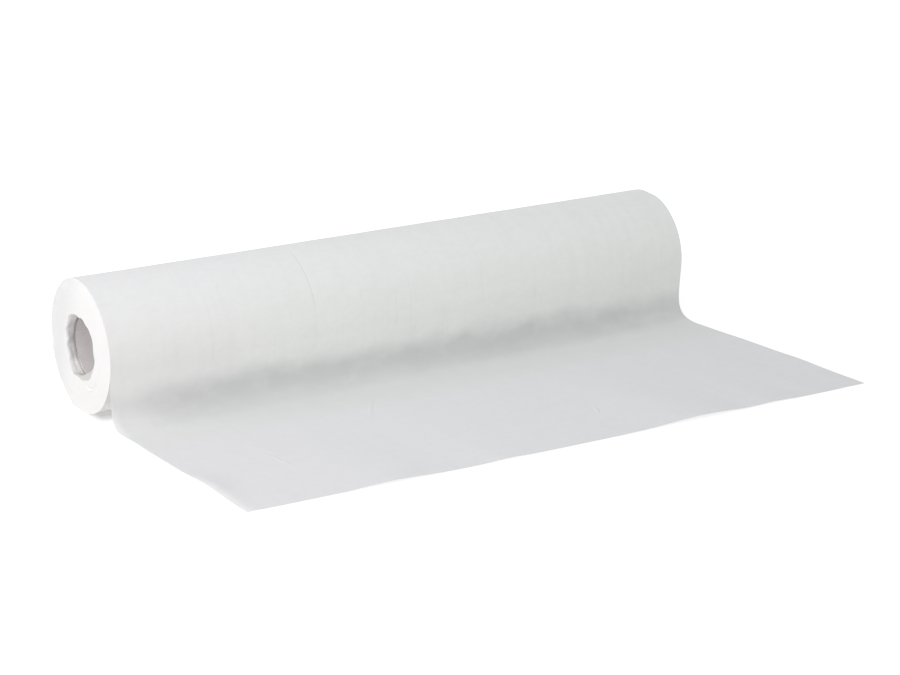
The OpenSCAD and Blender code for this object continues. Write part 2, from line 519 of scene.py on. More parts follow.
class Paint(Graph):
    """A material, with the nodes that its colours and its relief are made of."""

    def __init__(self, name):
        self.material = bpy.data.materials.new(name)
        self.material.use_nodes = True
        super().__init__(self.material.node_tree)

    def join(self, x, y, z):
        """A vector of three numbers."""
        return self.add("ShaderNodeCombineXYZ", None, {"X": x, "Y": y, "Z": z})

    def axes(self, vector):
        """The three numbers of a vector."""
        return [self.add("ShaderNodeSeparateXYZ", None, {0: vector}, axis) for axis in "XYZ"]

    def place(self):
        """Object coordinates."""
        return self.add("ShaderNodeTexCoord", None, None, "Object")

    def from_core(self):
        """Object coordinates, as three numbers, from the middle of the core."""
        x, y, z = self.axes(self.place())
        return x, y - CORE_Y, z - CORE_Z

    def noise(self, vector, scale, detail, roughness):
        """Noise from 0 to 1 round a half."""
        inputs = {"Vector": vector, "Scale": scale, "Detail": detail, "Roughness": roughness}
        return self.add("ShaderNodeTexNoise", {"noise_dimensions": "3D"}, inputs)

    def grain(self, across, along, kind):
        """Noise on the paper, of a kind that gives its sizes, layer, detail and roughness."""
        size_across, size_along, layer, detail, roughness = kind
        vector = self.join(across / (size_across * MM), along / (size_along * MM), layer)
        return self.noise(vector, 1, detail, roughness)

    def smooth(self, value, low, high):
        """0 below low, 1 above high and a smooth change between."""
        inputs = {"Value": value, "From Min": low, "From Max": high}
        return self.add("ShaderNodeMapRange", {"interpolation_type": "SMOOTHSTEP"}, inputs)

    def after(self, value, stretch):
        """0 before a stretch in millimetres, 1 after it and a smooth change over it."""
        begin, stop = stretch
        return self.smooth(value, begin * MM, stop * MM)

    def between(self, value, comes, goes):
        """1 from one stretch in millimetres to another, with a smooth change over each."""
        return self.after(value, comes) * (1 - self.after(value, goes))

    def mix(self, share, first, second):
        """Colour that goes from first to second as share goes from 0 to 1."""
        return self.add("ShaderNodeMix", {"data_type": "RGBA"}, {0: share, 6: first, 7: second}, 2)

    def tint(self, share, colour, shade):
        """Colour times a shade, as far as share goes from 0 to 1."""
        settings = {"data_type": "RGBA", "blend_type": "MULTIPLY"}
        return self.add("ShaderNodeMix", settings, {0: share, 6: colour, 7: shade}, 2)

    def ridge(self, distance, width):
        """1 where the distance is 0 and 0 from the width outwards."""
        return 1 - self.smooth(abs(distance), 0.0, width)

    def fold_line(self, across, along, line):
        """A fine line of painted shade round the roll, from a row of the fold lines."""
        from_left, begin, stop, half_width, strength = line
        run = self.between(along, (begin, begin + FOLD_FADE), (stop - FOLD_FADE, stop))
        return self.ridge(across - (from_left * MM - HALF_W), half_width * MM) * run * strength

    def wrinkle(self, across, along, wrinkle):
        """A short ridge, from a row of the wrinkles."""
        from_left, at, turn, half_length, half_width, height = wrinkle
        turn = math.radians(turn)
        side = across - (from_left * MM - HALF_W)
        ahead = along - at * MM
        lengthwise = side * math.cos(turn) + ahead * math.sin(turn)
        crosswise = ahead * math.cos(turn) - side * math.sin(turn)
        return self.ridge(lengthwise, half_length * MM) * self.ridge(crosswise, half_width * MM) * height

    def bump(self, height, distance, strength):
        """Normal of a relief whose height is from 0 to 1."""
        return self.add("ShaderNodeBump", None, {
            "Height": height, "Distance": distance, "Strength": strength,
        })

    def finish(self, **inputs):
        """Adds the Principled shader and the output. Names with a space are written with an underscore."""
        named = {name.replace("_", " "): value for name, value in inputs.items()}
        surface = self.add("ShaderNodeBsdfPrincipled", None, named)
        self.add("ShaderNodeOutputMaterial", None, {"Surface": surface})
        return self.material


def crepe_paint(name, finish, colour_by, creased=False):
    """Crepe paper: fine ridges across the paper, fibre clouds and faint bands along it.

    colour_by gives the colour under them. Creased paper has streaks, fold lines of painted shade and wrinkles
    too."""
    paint = Paint(name)
    across, along, _ = paint.axes(paint.add("ShaderNodeUVMap", {"uv_map": "web"}))
    ridges = paint.noise(paint.join(across / finish.crepe_run, along / finish.crepe_pitch, 0), 1, 3, 0.6)
    fibres = paint.grain(across, along, FIBRES)
    height = (ridges * 0.7 + fibres * 0.3) * (finish.crepe_depth / MM)
    # Thin places darken the colour, and in creased paper streaks and the painted shade of the fold lines
    # darken it too
    thin = 0
    for kind, low, high, strength in THIN_PLACES:
        thin = thin + paint.smooth(paint.grain(across, along, kind), low, high) * strength
    if creased:
        streaks = paint.smooth(paint.grain(across, along, STREAKS), 0.55, 0.8)
        thin = thin + streaks * (0.05 + paint.after(along, STREAKS_GROW) * 0.05)
        for line in FOLD_LINES:
            thin = thin + paint.fold_line(across, along, line)
        for wrinkle in WRINKLES:
            height = height + paint.wrinkle(across, along, wrinkle)
    return paint.finish(
        Base_Color=paint.mix(thin, colour_by(paint, finish, across, along), finish.paper_thin_and_fold_shade),
        Roughness=0.84 + ridges * 0.12,
        Normal=paint.bump(height, MM, 1.0),
        IOR=1.4,
        Specular_IOR_Level=0.3,
        Sheen_Weight=0.14,
        Sheen_Roughness=0.6,
    )


def web_colour(paint, finish, across, along):
    """Colour of the paper over the roll, then a hollow, then the table, mostly painted light and shade:
    painted light at the top and low at the front, painted shade in the crease over the hollow, in the bend
    and on the table, and painted light on the lifted left edge.
    """
    blots = paint.grain(across, along, BLOTS) - 0.5
    uneven = along + (paint.grain(across, along, WANDER) - 0.5) * WANDER_BY + blots * BLOTS_BY
    at_sides = paint.after(abs(across), SIDES)
    at_left = paint.after(across * -1, LEFT_CORNER)

    # Painted light at the top of the roll and low at its front
    lit_top = (1 - paint.after(along, TOP_GOES)) * (0.3 + paint.after(across, TOP_GROWS) * 0.7)
    lit_low = paint.between(along, *LIT_LOW) * (1 - at_sides * 0.7) * paint.after(across, LIT_LOW_FROM)
    colour = paint.mix(lit_top + lit_low * 0.75, finish.paper, finish.paper_top_painted_light)
    colour = paint.tint(paint.between(along, *WARM), colour, finish.warm_tint)

    # Painted shade in the crease, over the hollow behind the falling paper
    sooner = (1 - paint.after(across, HOLLOW_SOONER)) * HOLLOW_SOONER_BY
    sooner = sooner - paint.after(across, HOLLOW_LATER) * HOLLOW_LATER_BY
    hollow = paint.after(uneven + sooner, HOLLOW) * (1 - at_sides * 0.22 - at_left * 0.36)
    colour = paint.mix(hollow * (1.02 + blots * 0.8), colour, finish.paper_crease_painted_shade)

    # Painted shade: darker, and on the table cooler, after the fold to the table
    later = paint.after(across, LANDING_LATER) * LANDING_LATER_BY
    later = later + paint.after(across, LANDING_LATEST) * LANDING_LATEST_BY
    landing = paint.after(uneven - later, LANDING) * 0.84 + paint.after(along, SETTLING) * 0.16
    table = paint.mix(paint.after(along, TABLE), finish.paper_landing_painted_shade, finish.paper_sheet_painted_shade)
    colour = paint.mix(landing, colour, table)

    # Painted shade in the bend, fainter round one place
    faint = paint.ridge(across - BEND_FAINT_AT * MM, BEND_FAINT_HALF_W * MM) * 0.7
    bend = paint.between(along, *BEND) * paint.after(across, BEND_FROM) * (1 - faint)
    colour = paint.tint(bend, colour, finish.bend_painted_shade)
    colour = paint.tint(1 - paint.after(across, LEFT_TINT_GOES), colour, finish.left_tint)
    # Painted light on the lifted left edge
    lifted_edge_light = paint.between(along, *FOOT) * 0.5 + paint.after(along, CORNER) * 0.6
    return paint.mix((1 - paint.after(across + HALF_W, NEAR_EDGE)) * lifted_edge_light, colour, finish.paper_edge_painted_light)


def mouth_colour(paint, finish, across, along):
    """Colour of the thin folded paper in the mouth, a darker copy of the paper as painted shade, with more
    painted shade low down and painted light at the lip.
    """
    _, y, z = paint.from_core()
    # Painted shade low in the mouth
    low = paint.after((z + y * 0.5) * -1, MOUTH_LOW)
    # Painted light at the lip
    lip = paint.smooth(across, HALF_W - 3.5 * MM, HALF_W - 0.3 * MM)
    colour = paint.tint(low, finish.paper_mouth_painted_shade, finish.mouth_low_painted_shade)
    return paint.mix(lip * (1 - low), colour, finish.paper_inside_painted_light)


def inside_painted_light_colour(paint, finish, across, along):
    """Painted light on the paper's inner sides, in the hollow under the falling paper."""
    return finish.paper_inside_painted_light


def edges_paint(finish, ends):
    """The ends of the roll: the cut edges of the turns, wound in a spiral round the core, with painted shade
    on the end's back.
    """
    paint = Paint("turn_edges")
    _, y, z = paint.from_core()
    radius = (y * y + z * z) ** 0.5
    turn = z.math("ARCTAN2", z, y) / (2 * math.pi)
    spiral = radius / ends.bundle_pitch - turn
    layers = paint.noise(paint.join(spiral * 7, y / (8 * MM), z / (8 * MM)), 1, 3, 0.7)
    patches = paint.noise(paint.place(), 90, 3, 0.6)
    gaps = paint.smooth(layers, 0.56, 0.78) * 0.24 + paint.smooth(patches, 0.5, 0.8) * 0.08
    # Painted shade on the back of the end
    back_shade = paint.after(y * 0.94 + z * 0.34, BACK_SHADE)
    return paint.finish(
        Base_Color=paint.mix(gaps, paint.mix(back_shade, finish.edges, finish.edge_back_painted_shade), finish.edge_gaps),
        Roughness=0.86 + layers * 0.1,
        Normal=paint.bump(layers, 0.08 * MM, 0.7),
        IOR=1.4,
        Specular_IOR_Level=0.25,
    )


def board_paint(finish):
    """Grey board of the core, with fibres that follow its length, painted light deeper inside the bore and
    painted shade on its rims, paler low down.
    """
    paint = Paint("grey_board")
    x, y, z = paint.from_core()
    grain = paint.noise(paint.join(x / (3 * MM), y / (0.9 * MM), z / (0.9 * MM)), 1, 4, 0.65)
    specks = paint.noise(paint.join(x / (0.7 * MM), y / (0.7 * MM), z / (0.7 * MM)), 1, 2, 0.5)
    clouds = paint.noise(paint.place(), 60, 3, 0.6)
    dark = paint.smooth(grain, 0.45, 0.75) * 0.4 + paint.smooth(specks, 0.62, 0.75) * 0.5
    dark = dark + paint.smooth(clouds, 0.4, 0.8) * 0.15
    from_rim = CORE_HALF - abs(x)
    # Painted light deeper inside the bore
    colour = paint.mix(paint.after(from_rim, BORE_DEEP), finish.board, finish.board_deep_painted_light)
    colour = paint.mix(dark, colour, finish.board_fibre)
    # Painted shade on the rims, paler low down
    cut = 1 - paint.after(from_rim, CUT_RIM)
    cut = cut * (1 - paint.after(z * -1, CUT_PALER) * 0.7)
    return paint.finish(
        Base_Color=paint.mix(cut, colour, finish.board_rim_painted_shade),
        Roughness=0.82 + grain * 0.12,
        Normal=paint.bump(grain, 0.08 * MM, 0.8),
        IOR=1.45,
        Specular_IOR_Level=0.3,
    )


def lint_paint(finish):
    """Torn white fibres."""
    paint = Paint("torn_fibres")
    colour = paint.mix(paint.noise(paint.place(), 900, 2, 0.5) * 0.3, finish.lint, finish.board)
    return paint.finish(Base_Color=colour, Roughness=0.9, Specular_IOR_Level=0.2)


def mix(first, second, share):
    """A value between two others."""
    return first + (second - first) * share


def ease(value):
    """0 to 1 with a smooth start and end, for a value that runs from 0 to 1 or past it."""
    held = np.clip(value, 0, 1)
    return held * held * (3 - 2 * held)


def after(value, stretch):
    """0 before a stretch in millimetres, 1 after it and a smooth change over it."""
    begin, stop = stretch
    return ease((value - begin * MM) / ((stop - begin) * MM))


def bell(value, width):
    """1 in the middle and nearly 0 at twice the width."""
    return np.exp(-((value / width) ** 2))


def hills(u, v, seed):
    """Smooth random hills, from about -1 to 1, that lie about one unit apart."""
    turns = np.random.default_rng(seed).uniform(0, 2 * math.pi, (NOISE_CELLS, NOISE_CELLS))
    u, v = np.broadcast_arrays(u, v)
    cell_u = np.floor(u).astype(int)
    cell_v = np.floor(v).astype(int)
    part_u = u - cell_u
    part_v = v - cell_v

    def slope(i, j):
        turn = turns[(cell_u + i) % NOISE_CELLS, (cell_v + j) % NOISE_CELLS]
        return np.cos(turn) * (part_u - i) + np.sin(turn) * (part_v - j)

    near = mix(slope(0, 0), slope(1, 0), ease(part_u))
    far = mix(slope(0, 1), slope(1, 1), ease(part_u))
    return 1.5 * mix(near, far, ease(part_v))


def on_roll(angle, radius):
    """A point of the section, y and z. The angle starts level at the front and runs down and under."""
    return np.stack([-radius * np.cos(angle), AXIS_Z - radius * np.sin(angle)], -1)


def curve(start, first, second, end, share):
    """A point on a smooth curve, and its direction."""
    rest = 1 - share
    point = (
        rest**3 * start + 3 * rest**2 * share * first + 3 * rest * share**2 * second + share**3 * end
    )
    way = rest**2 * (first - start) + 2 * rest * share * (second - first) + share**2 * (end - second)
    return point, way


def web_path(sizes, x):
    """The middle of the paper from the back of the flat spot over the top to the cut edge.

    Gives points and outward normals for each step and station, and the distance along the paper,
    which is 0 where the paper leaves the roll."""
    share = x / (2 * HALF_W) + 0.5
    half_t = sizes.paper_t / 2
    waver = 0
    for number, (run, part) in enumerate(WAVERS):
        waver = waver + part * hills(x / (run * MM), 0.5, sizes.seed + number)
    waver = waver * after(HALF_W - np.abs(x), WAVER_GROWS)
    leave = mix(sizes.leave_left, sizes.leave_right, share) + LEAVE_WAVER * waver
    start = math.pi / 2 + math.asin(sizes.spot_w / 2 / ROLL_R)
    angle = start + (2 * math.pi + leave - start) * np.linspace(0, 1, ARC_STEPS)[:, None]
    radius = ROLL_R - half_t + sizes.paper_t * (angle - math.pi) / (2 * math.pi)
    arc = on_roll(angle, radius)
    arc_way = np.stack([np.sin(angle), -np.cos(angle)], -1)

    def ends(left, right):
        return mix(left, right, share)[:, None]

    down = np.stack([np.sin(leave), -np.cos(leave)], -1)
    flat = np.array([-1.0, 0.0])
    foot_y = -ends(sizes.foot_left, sizes.foot_right)[:, 0] + sizes.foot_waver * waver
    foot = np.stack([foot_y, np.full_like(foot_y, half_t)], -1)
    steps = (np.arange(1, FALL_STEPS + 1) / FALL_STEPS)[:, None, None]
    fall, fall_way = curve(
        arc[-1],
        arc[-1] + ends(sizes.fall_left, sizes.fall_right) * down,
        foot - ends(sizes.bend_left, sizes.bend_right) * flat,
        foot,
        steps,
    )
    reach = mix(sizes.reach_left, sizes.reach_right, share) + sizes.edge_bow * np.sin(math.pi * share)
    reach = reach + sizes.edge_waver * hills(x / EDGE_WAVER_RUN, 0.5, sizes.seed + 2)
    steps = (np.arange(1, SHEET_STEPS + 1) / SHEET_STEPS)[:, None]
    sheet_y = mix(foot_y, -reach, steps)
    sheet = np.stack([sheet_y, np.full_like(sheet_y, half_t)], -1)
    points = np.concatenate([arc, fall, sheet])
    way = np.concatenate([arc_way, fall_way, np.broadcast_to(flat, sheet.shape)])
    way = way / np.linalg.norm(way, axis=-1, keepdims=True)
    normals = np.stack([way[..., 1], -way[..., 0]], -1)
    lengths = np.linalg.norm(np.diff(points, axis=0), axis=-1)
    along = np.concatenate([np.zeros((1, len(x))), np.cumsum(lengths, axis=0)])
    return points, normals, along - along[ARC_STEPS - 1], angle


def waves(rows, along, x, seed):
    """Hills of several sizes on top of each other."""
    height = 0
    for number, (run_along, run_across, share) in enumerate(rows):
        height = height + share * hills(along / (run_along * MM), x / (run_across * MM), seed + number)
    return height


def web_relief(sizes, x, along, angle):
    """How far the paper stands out from its smooth path, in metres."""
    seed = sizes.seed + 10
    from_left = x + HALF_W
    x = np.broadcast_to(x, along.shape)
    from_side = HALF_W - np.abs(x)
    to_edge = along[-1] - along
    on_top = 1 - after(along, LUMPS_GO)
    falling = after(along, FALL_WAVES_COME) * (1 - after(along, FALL_WAVES_GO))
    lying = after(along, SHEET_WAVES_COME)
    lumps = sizes.roll_lumps * waves(LUMPS, along, x, seed)
    bands = sizes.roll_bands * waves(ROUND_BANDS, along, x, seed + 2)
    relief = on_top * (lumps + bands) * after(along - along[0], LUMPS_COME)
    falls = sizes.fall_waves * waves(FALL_WAVES, along, x, seed + 3)
    relief = relief + falling * falls * after(from_side, FALL_WAVES_INWARD)
    relief = relief + lying * sizes.sheet_waves * (waves(SHEET_WAVES, along, x, seed + 5) + SHEET_RISE)
    for place, half_width, height, run in EDGE_LIFTS:
        across = bell(from_left - place * MM, half_width * MM)
        relief = relief + height * MM * across * bell(to_edge, run * MM)
    for side, place, half_length, height, width in SIDE_LIFTS:
        inward = HALF_W - side * x
        lift = height * MM * bell(to_edge - place * MM, half_length * MM)
        relief = relief + lift * bell(inward, width * MM)
    below_level = 180 - np.degrees(angle)
    for place, half_width, height in BACK_DENTS:
        dent = height * MM * bell(below_level - place, half_width)
        relief[:ARC_STEPS] += dent * bell(from_left, BACK_DENTS_RUN)
    sag = TOP_SAG * bell(np.degrees(angle) - TOP_SAG_AT, TOP_SAG_HALF_W)
    relief[:ARC_STEPS] -= sag * bell(HALF_W - x[:ARC_STEPS], TOP_SAG_RUN)
    return relief


def stations():
    """Places along the roll where its section is drawn, closer together near the ends."""
    share = np.linspace(-1, 1, STATIONS)
    bunched = np.sin(share * math.pi / 2)
    return HALF_W * mix(share, bunched, BUNCHED)


def mouth_folds(turn, lean):
    """Radius of the mouth, its rounding and the fold behind it at each angle.

    Lean makes the folds deeper or shallower."""
    folds = np.array(MOUTH_FOLDS)
    places = np.radians(folds[:, 0])
    ring = np.concatenate([places - 2 * math.pi, places, places + 2 * math.pi])
    values = np.tile(folds[:, 1:] * MM, (3, 1))
    at = np.mod(turn, 2 * math.pi)
    following = np.searchsorted(ring, at)
    before = following - 1
    share = ease((at - ring[before]) / (ring[following] - ring[before]))[:, None]
    plain = np.median(values, axis=0)
    return (plain + lean * (mix(values[before], values[following], share) - plain)).T


def end_relief(ends, side, outward, turn, y, z):
    """How far the end stands out from flat: bundles of turns, a wandering face and one small crease.

    outward is the distance from the mouth and turn the angle about the core."""
    seed = ends.seed + (0 if side < 0 else 40)
    phase = outward / ends.bundle_pitch - turn / (2 * math.pi)
    place = np.floor(phase) + turn / (2 * math.pi)
    part = phase - np.floor(phase)
    relief = ends.bundle_step * hills(place * 1.7, 0.5, seed)
    line = bell(part, 0.16) + bell(part - 1, 0.16)
    strength = 0.5 + 0.5 * hills(place * 3.1, 0.5, seed + 1)
    relief = relief - ends.bundle_gap * line * np.clip(strength, 0, 1)
    relief = relief + ends.dish * hills(y / DISH_RUN, z / DISH_RUN, seed + 2)
    relief = relief + ends.dimples * hills(y / DIMPLES_RUN, z / DIMPLES_RUN, seed + 3)
    if side < 0:
        from_arc = np.hypot(y - CREASE_Y, z - CREASE_Z) - CREASE_R
        window = bell(y - CREASE_SEEN_Y, CREASE_SEEN_HALF_W) * (1 - after(z, CREASE_ENDS))
        ridge = CREASE_RIDGE * bell(from_arc - CREASE_RIDGE_OFF, CREASE_RIDGE_HALF_W)
        relief = relief + (ridge - CREASE_LINE * bell(from_arc, CREASE_LINE_HALF_W)) * window
        relief = relief - STEP_BACK * after(y, STEPS_BACK)
    return relief


class Shell:
    """Gathers the vertices, faces, texture places and materials of one closed mesh."""

    def __init__(self):
        self.points = []
        self.faces = []
        self.places = []
        self.slots = []
        self.count = 0

    def vertices(self, points):
        """Adds points of any grid shape and gives their numbers in that shape."""
        flat = points.reshape(-1, 3)
        numbers = self.count + np.arange(len(flat)).reshape(points.shape[:-1])
        self.points.append(flat)
        self.count += len(flat)
        return numbers

    def quads(self, grid, places, slot, flip=False):
        """Faces between the rows and columns of a grid of vertex numbers."""
        corners = ((0, 0), (0, 1), (1, 1), (1, 0))
        rows, columns = grid.shape[0] - 1, grid.shape[1] - 1
        order = corners[::-1] if flip else corners
        self.faces.append(np.stack([
            grid[i:rows + i, j:columns + j] for i, j in order
        ], -1).reshape(-1, 4))
        self.places.append(np.stack([
            places[i:rows + i, j:columns + j] for i, j in order
        ], -2).reshape(-1, 2))
        self.slots.append(np.full(rows * columns, slot))

    def build(self, name, paints, sharp_angle):
        """The mesh object, smooth but for edges sharper than the angle."""
        faces = np.concatenate(self.faces)
        mesh = bpy.data.meshes.new(name)
        mesh.from_pydata(np.concatenate(self.points).tolist(), [], faces.tolist())
        layer = mesh.uv_layers.new(name="web")
        layer.data.foreach_set("uv", np.concatenate(self.places).astype(np.float32).ravel())
        for paint in paints:
            mesh.materials.append(paint)
        mesh.polygons.foreach_set("material_index", np.concatenate(self.slots).astype(np.int32))
        mesh.polygons.foreach_set("use_smooth", np.ones(len(faces), bool))
        mesh.set_sharp_from_angle(angle=sharp_angle)
        mesh.validate()
        mesh.update()
        found = bpy.data.objects.new(name, mesh)
        bpy.context.scene.collection.objects.link(found)
        return found


def with_x(x, section):
    """Points in space from a grid of y and z and the station of each column."""
    return np.concatenate([np.broadcast_to(x, section.shape[:-1])[..., None], section], -1)


def pair(first, second):
    """Two grids of numbers as one grid of pairs."""
    first, second = np.broadcast_arrays(first, second)
    return np.stack([first, second], -1)


def wind_paper(scene):
    """Builds the paper: outer turn, falling paper, sheet, both ends and the mouths, as one closed mesh."""
    sizes = scene.roll_paper
    ends = scene.roll_ends
    x = stations()
    middle, normals, along, angle = web_path(sizes, x)
    half_t = sizes.paper_t / 2
    relief = web_relief(sizes, x, along, angle)[..., None]
    outer = middle + normals * (relief + half_t)
    inner = (middle + normals * (relief - half_t))[ARC_STEPS:]
    outer[ARC_STEPS:, :, 1] = np.maximum(outer[ARC_STEPS:, :, 1], sizes.paper_t)
    inner[..., 1] = np.maximum(inner[..., 1], 0)
    outer[0, :, 1] = 0
    front_angle = mix(angle[-1] - 2 * math.pi, math.pi - angle[0], np.linspace(0, 1, FRONT_STEPS)[:, None])
    front = on_roll(front_angle, ROLL_R - sizes.paper_t)
    fade = ease(1 - np.linspace(0, 1, FRONT_STEPS) * 3)[:, None, None]
    front = front + fade * relief[ARC_STEPS - 1] * normals[ARC_STEPS - 1]
    front[-1, :, 1] = 0
    spot_share = (np.arange(1, SPOT_STEPS) / SPOT_STEPS)[:, None, None]
    spot = mix(front[-1], outer[0], spot_share)
    loop = np.concatenate([outer, inner[::-1], front, spot])

    shell = Shell()
    grid = shell.vertices(with_x(x, loop))
    rows = len(loop)
    steps = np.linalg.norm(np.diff(np.concatenate([loop, loop[:1]]), axis=0), axis=-1)
    web = np.concatenate([along, along[ARC_STEPS:][::-1]])
    below = along[ARC_STEPS - 1] + np.cumsum(steps[len(web) - 1:], axis=0)
    web = pair(x, np.concatenate([web, below]))
    closed = np.concatenate([grid, grid[:1]])
    inner_from = len(along)
    inside_to = rows - SPOT_STEPS
    shell.quads(closed[:inner_from], web[:inner_from], OUTER, flip=True)
    shell.quads(closed[inner_from - 1:inside_to + 1], web[inner_from - 1:inside_to + 1], INSIDE, flip=True)
    shell.quads(closed[inside_to:], web[inside_to:], OUTER, flip=True)

    front_from = rows - SPOT_STEPS + 1 - FRONT_STEPS
    turned = [*range(ARC_STEPS), *range(front_from, rows), 0]
    outer_rows = list(range(ARC_STEPS - 1, len(along)))
    inner_rows = [front_from - k for k in range(len(outer_rows))]
    for side, column in ((-1, 0), (1, -1)):
        thin = np.stack([grid[outer_rows, column], grid[inner_rows, column]], -1)
        thin_place = pair(along[outer_rows, column][:, None], np.array([0, sizes.paper_t]))
        shell.quads(thin, thin_place, OUTER, flip=side > 0)
    seats = []
    for side, column in ((-1, 0), (1, -1)):
        rim = loop[turned, column]
        rim_grid = grid[turned, column]
        seats.append(wind_end(shell, sizes, ends, side, rim, rim_grid))
    (left, places), (right, _) = seats
    seat = np.stack([left, right], 0)
    shell.quads(seat, np.stack([places, places + 1], 0), OUTER, flip=True)
    finish = scene.roll_finish
    paints = [
        crepe_paint("outer_paper", finish, web_colour, creased=True),
        edges_paint(finish, ends),
        crepe_paint("mouth_paper", finish, mouth_colour),
        crepe_paint("inside_paper", finish, inside_painted_light_colour),
    ]
    return shell.build("paper", paints, math.radians(38))


def wind_end(shell, sizes, ends, side, rim, rim_grid):
    """Adds one end of the roll and its crumpled mouth, down to the seat of the core.

    Gives the vertex numbers of the last ring and its texture places."""
    turn = np.unwrap(np.arctan2(rim[:, 1] - CORE_Z, rim[:, 0] - CORE_Y))
    spread = np.stack([np.cos(turn), np.sin(turn)], -1)
    shift = 0 if side < 0 else math.radians(140)
    lip, lip_r, fold = mouth_folds(turn + shift, 1.0 if side < 0 else 0.8)
    core = np.array([CORE_Y, CORE_Z])
    mouth = core + spread * lip[:, None]
    rim_r = np.linalg.norm(rim - core, axis=-1)
    share = (np.arange(1, END_ROWS + 1) / END_ROWS)[:, None]
    flat = mix(rim, mouth, share[..., None])
    outward = (rim_r - lip) * (1 - share)
    relief = end_relief(ends, side, outward, turn, flat[..., 0], flat[..., 1])
    relief = relief * ease((rim_r - lip - outward) / (1.5 * MM))
    curl = np.clip(1 - outward / lip_r, 0, 1)
    relief = relief - lip_r * (1 - np.sqrt(1 - curl**2))
    face_x = side * (HALF_W + relief)

    depth = np.linspace(0, 1, MOUTH_ROWS + 1)[1:, None]
    recess = HALF_W - CORE_HALF - ends.fold_end
    seat_r = CORE_R + CORE_PLAY
    gap_r = CORE_R + ends.rim_gap * (1 - 0.65 * ease(-2 * np.sin(turn) - 0.8))
    crumple = ends.crumple * hills(turn * 3.5, depth * 2.5, ends.seed + 60 + side) * np.sin(math.pi * depth)
    fold = fold * bell(depth - 0.2, np.where(depth < 0.2, 0.16, 0.45))
    mouth_r = mix(lip, CORE_R + ends.fold_ease, depth) - fold + crumple
    mouth_x = HALF_W - lip_r - (recess - lip_r) * depth
    tube = core + spread * mouth_r[..., None]
    rings_r = np.stack([gap_r, gap_r, np.full_like(turn, seat_r)])
    step = ends.rim_gap_run * np.array([0.06, 0.8, 1])
    rings_x = CORE_HALF + ends.fold_end - step[:, None] + 0 * turn
    rings = core + spread * rings_r[..., None]

    face = np.concatenate([face_x[..., None], flat], -1)
    tube = np.concatenate([side * np.broadcast_to(mouth_x, mouth_r.shape)[..., None], tube], -1)
    rings = np.concatenate([side * rings_x[..., None], rings], -1)
    added = shell.vertices(np.concatenate([face, tube, rings])[:, :-1])
    added = np.concatenate([added, added[:, :1]], 1)
    whole = np.concatenate([rim_grid[None], added])
    placed = np.concatenate([rim[None], flat])
    cut = END_ROWS + 1
    shell.quads(whole[:cut], placed, EDGES, flip=side < 0)
    depth_at = np.concatenate([
        (HALF_W - lip_r)[None],
        np.broadcast_to(mouth_x, mouth_r.shape),
        rings_x,
    ])
    around = np.broadcast_to(turn * CORE_R, depth_at.shape)
    shell.quads(whole[cut - 1:], pair(depth_at, around), MOUTH, flip=side < 0)
    return whole[-1], np.stack([rings_x[-1] * side, turn * CORE_R], -1)


def tube_mesh(scene):
    """The core as a turned tube with chamfered rims that are a little uneven where they were cut."""
    sizes = scene.roll_core
    turn = np.linspace(0, 2 * math.pi, sizes.sides + 1)
    chamfer = sizes.chamfer
    profile = (
        (-1, CORE_R - chamfer, 0), (-1, CORE_R, chamfer), (1, CORE_R, chamfer), (1, CORE_R - chamfer, 0),
        (1, BORE_R + chamfer, 0), (1, BORE_R, chamfer), (-1, BORE_R, chamfer), (-1, BORE_R + chamfer, 0),
    )
    rings = []
    for side, radius, back in (*profile, profile[0]):
        uneven = RIM_WAVER * (1 + hills(np.cos(turn) * 4 + 9, np.sin(turn) * 4 + 9, sizes.seed + side))
        x = side * (CORE_HALF - back - uneven)
        ring = [x, CORE_Y + radius * np.cos(turn), CORE_Z + radius * np.sin(turn)]
        rings.append(np.stack(ring, -1))
    shell = Shell()
    grid = shell.vertices(np.stack(rings)[:-1, :-1])
    grid = np.concatenate([grid, grid[:, :1]], 1)
    grid = np.concatenate([grid, grid[:1]])
    places = pair(np.arange(len(grid))[:, None] * 1.0, turn * CORE_R)
    shell.quads(grid, places, 0)
    return shell.build("core", [board_paint(scene.roll_finish)], math.radians(35))


def geometry_graph(name, inputs):
    """A geometry node tree with named inputs, each a name, a socket type and a value.

    Gives the tree as a graph, and what its inputs give by their names."""
    tree = bpy.data.node_groups.new(name, "GeometryNodeTree")
    tree.interface.new_socket("Geometry", in_out="INPUT", socket_type="NodeSocketGeometry")
    tree.interface.new_socket("Geometry", in_out="OUTPUT", socket_type="NodeSocketGeometry")
    for label, kind, value in inputs:
        socket = tree.interface.new_socket(label, in_out="INPUT", socket_type=kind)
        if value is not None:
            socket.default_value = value
    graph = Graph(tree)
    return graph, {label: graph.add("NodeGroupInput", None, None, label) for label, _, _ in inputs}


def end_tree(graph, geometry, material):
    """Makes instances real, gives them their material and leads them out of the tree."""
    real = graph.add("GeometryNodeRealizeInstances", None, {"Geometry": geometry})
    done = graph.add("GeometryNodeSetMaterial", None, {"Geometry": real, "Material": material})
    graph.add("NodeGroupOutput", None, {"Geometry": done})
    return graph.tree


def grow(name, tree, values, paint):
    """Runs a tree on an empty object and gives its result as a plain mesh object."""
    seedling = bpy.data.objects.new(name + "_tree", bpy.data.meshes.new(name + "_tree"))
    bpy.context.scene.collection.objects.link(seedling)
    modifier = seedling.modifiers.new("tree", "NODES")
    modifier.node_group = tree
    for item in tree.interface.items_tree:
        if item.item_type == "SOCKET" and item.in_out == "INPUT" and item.name in values:
            modifier[item.identifier] = values[item.name]
    evaluated = seedling.evaluated_get(bpy.context.evaluated_depsgraph_get())
    mesh = bpy.data.meshes.new_from_object(evaluated)
    mesh.name = name
    bpy.data.objects.remove(seedling)
    grown = bpy.data.objects.new(name, mesh)
    bpy.context.scene.collection.objects.link(grown)
    mesh.materials.clear()
    mesh.materials.append(paint)
    return grown


